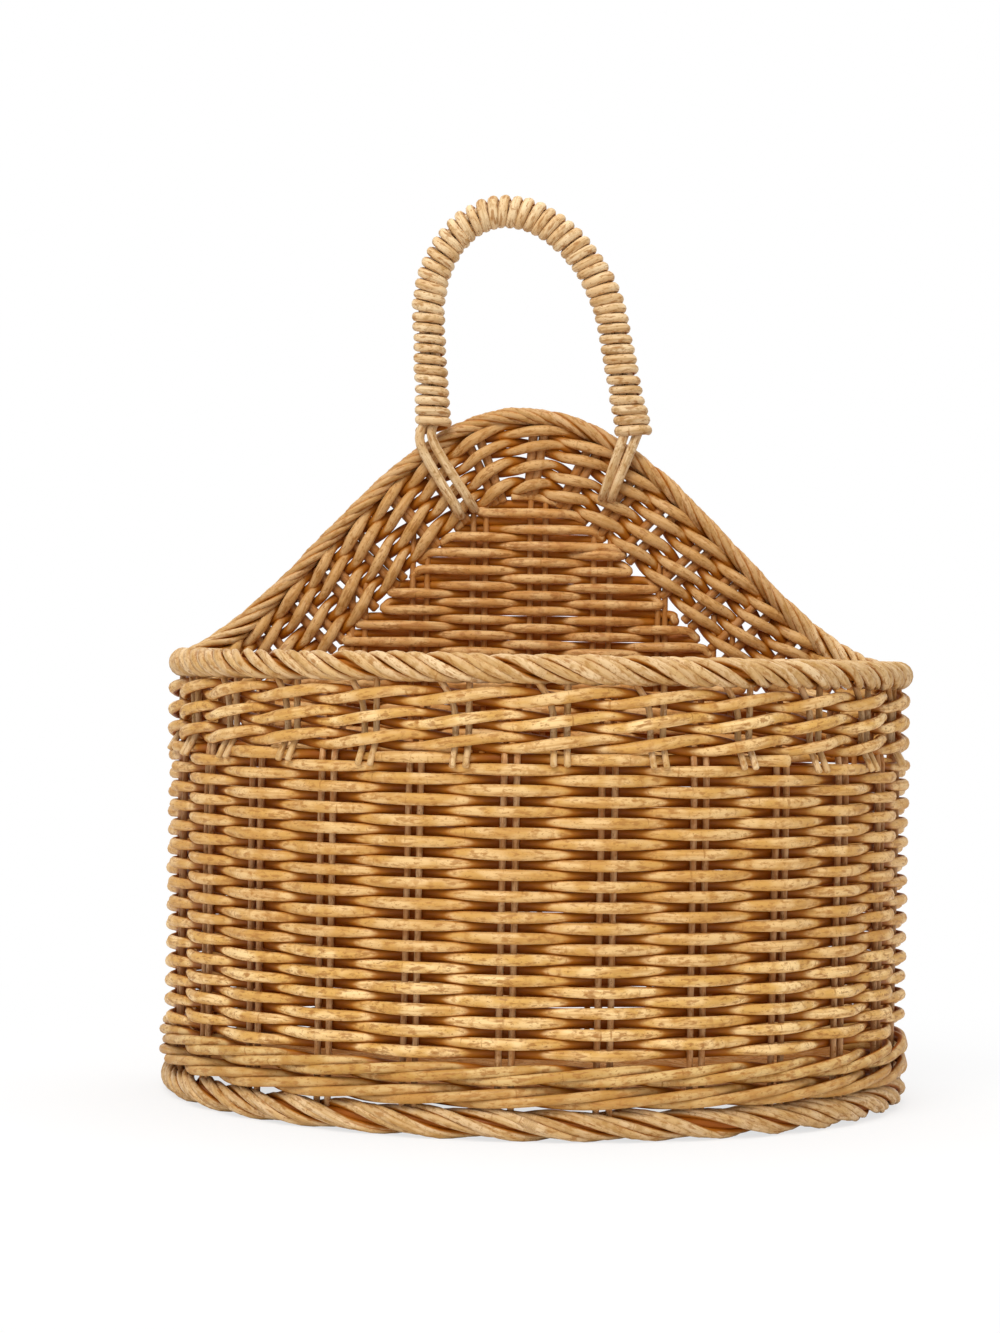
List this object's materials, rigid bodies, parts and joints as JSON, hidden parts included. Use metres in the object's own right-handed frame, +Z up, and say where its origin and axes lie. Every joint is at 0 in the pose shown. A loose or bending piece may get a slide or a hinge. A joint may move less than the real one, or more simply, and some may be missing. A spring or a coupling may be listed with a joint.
{
  "type": "wall basket",
  "caption": "woven cane wall basket with a D-shaped plan, a bell-shaped raised back and a wrapped loop handle to hang it by",
  "frame": {"origin": "centre of the overall box, on the plane that the foot border stands on", "axes": "+Z up, +Y towards the flat back that lies against the wall, +X to the right seen from the front"},
  "size_m": [0.3612, 0.2334, 0.441],
  "materials": {
    "base": "peeled cane, satin",
    "border_cane": "peeled cane, satin",
    "handle_cane": "peeled cane, satin",
    "back_panel_cane": "peeled cane, satin",
    "stake_cane": "peeled cane, satin",
    "border_stake_cane": "peeled cane, satin",
    "weaving_cane": "peeled cane, satin"
  },
  "bodies": {
    "root": {"base_mat": "base", "foot_border_strand_1": "border_cane", "foot_border_strand_2": "border_cane", "foot_border_strand_3": "border_cane", "bottom_wale_1": "weaving_cane", "bottom_wale_2": "weaving_cane", "siding_weaver_1": "weaving_cane", "siding_weaver_2": "weaving_cane", "siding_weaver_3": "weaving_cane", "twined_row_1": "weaving_cane", "twined_row_2": "weaving_cane", "twined_row_3": "weaving_cane", "rim_border_strand_1": "border_cane", "rim_border_strand_2": "border_cane", "rim_border_strand_3": "border_cane", "back_panel_weaver": "back_panel_cane", "stake_pair_01": "stake_cane", "stake_pair_02": "stake_cane", "stake_pair_03": "stake_cane", "stake_pair_04": "stake_cane", "stake_pair_05": "stake_cane", "stake_pair_06": "stake_cane", "stake_pair_07": "stake_cane", "stake_pair_08": "stake_cane", "stake_pair_09": "stake_cane", "stake_pair_10": "stake_cane", "stake_pair_11": "stake_cane", "stake_pair_12": "stake_cane", "stake_pair_13": "stake_cane", "stake_pair_14": "stake_cane", "stake_pair_15": "stake_cane", "stake_pair_16": "stake_cane", "stake_pair_17": "stake_cane", "stake_pair_18": "stake_cane", "stake_pair_19": "stake_cane", "stake_pair_20": "stake_cane", "stake_pair_21": "stake_cane", "stake_pair_22": "stake_cane", "stake_pair_23": "stake_cane", "stake_pair_24": "stake_cane", "stake_pair_25": "stake_cane", "border_stake_pair_01": "border_stake_cane", "border_stake_pair_02": "border_stake_cane", "border_stake_pair_03": "border_stake_cane", "border_stake_pair_04": "border_stake_cane", "border_stake_pair_05": "border_stake_cane", "border_stake_pair_06": "border_stake_cane", "border_stake_pair_07": "border_stake_cane", "border_stake_pair_08": "border_stake_cane", "border_stake_pair_09": "border_stake_cane", "border_stake_pair_10": "border_stake_cane", "border_stake_pair_11": "border_stake_cane", "border_stake_pair_12": "border_stake_cane", "handle_cane_outer": "handle_cane", "handle_cane_inner": "handle_cane", "handle_wrap": "handle_cane"}
  },
  "joints": []
}
